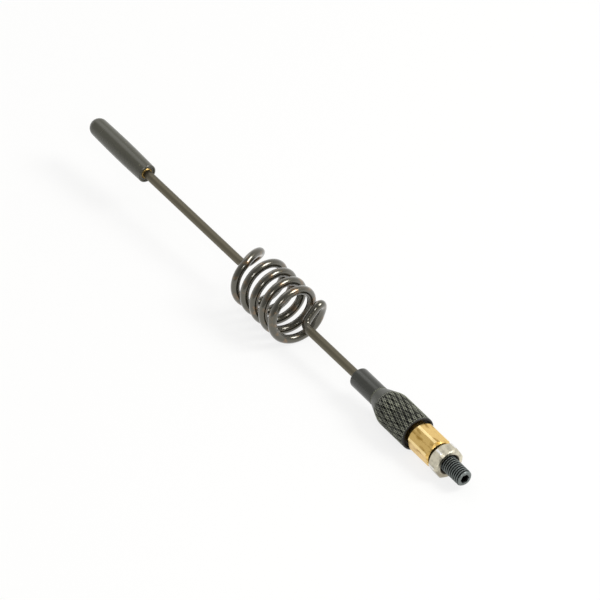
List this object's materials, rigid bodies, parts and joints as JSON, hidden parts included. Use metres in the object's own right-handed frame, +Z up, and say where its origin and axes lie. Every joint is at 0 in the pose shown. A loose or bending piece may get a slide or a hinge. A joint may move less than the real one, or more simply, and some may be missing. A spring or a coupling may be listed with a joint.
{
  "type": "car mast aerial",
  "caption": "Short car mast aerial: sprung wire mast with a coil, tip cap, knurled grip, hex adapter and threaded stud with lock nut.",
  "frame": {"origin": "on the floor under the middle of the aerial as it lies at rest", "axes": "+Z up; +X along the mast toward the threaded stud, so the tip cap is at -X"},
  "size_m": [0.1852, 0.0173, 0.0182],
  "materials": {
    "wire": "spring steel wire, dark bronze plated, satin",
    "anodised_cap": "turned aluminium, black anodised, satin",
    "brass": "machined brass, lightly stained",
    "anodised_grip": "turned and diamond-knurled aluminium, black anodised",
    "black_oxide": "black oxide steel",
    "nickel": "nickel-plated steel, lightly scratched"
  },
  "bodies": {
    "mast": {"mast_wire": "wire", "tip_cap": "anodised_cap", "tip_bush": "brass", "knurled_grip": "anodised_grip", "hex_adapter": "brass"},
    "stud": {"threaded_stud": "black_oxide"},
    "nut": {"lock_nut": "nickel"}
  },
  "joints": [
    {"name": "stud_travel", "type": "slide", "parent": "mast", "child": "stud", "axis": [0.9983, 0, -0.0576], "range_m": [0, 0.005]},
    {"name": "lock_nut_travel", "type": "slide", "parent": "stud", "child": "nut", "axis": [0.9983, 0, -0.0576], "range_m": [-0.0009, 0.006]}
  ]
}
